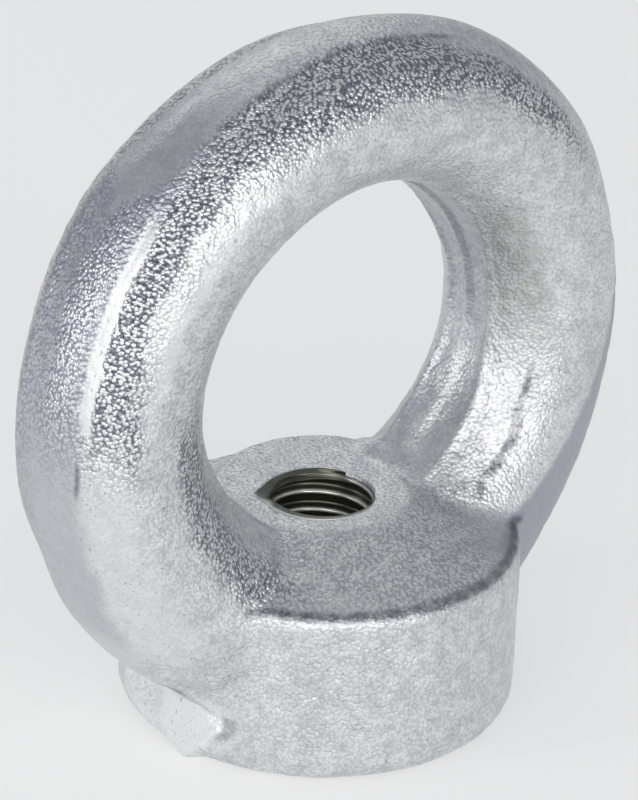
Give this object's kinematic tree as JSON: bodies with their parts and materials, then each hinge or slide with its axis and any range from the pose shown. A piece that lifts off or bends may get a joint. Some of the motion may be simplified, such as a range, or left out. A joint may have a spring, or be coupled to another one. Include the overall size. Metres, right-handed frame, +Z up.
{
  "type": "lifting eye nut",
  "caption": "Forged lifting ring standing on a round collar, with a threaded hole up through the collar into the eye, to screw onto a stud and take a hook or shackle.",
  "frame": {"origin": "middle of the collar's underside, on the thread's axis", "axes": "+Z up the thread's axis to the crown of the ring, X across the ring's width, Y through the eye"},
  "size_m": [0.0354, 0.02, 0.036],
  "materials": {
    "galvanised_steel": "hot-dip galvanised over a shot-blasted forging, dull to bright zinc"
  },
  "bodies": {
    "root": {"eye_nut": "galvanised_steel"}
  },
  "joints": []
}
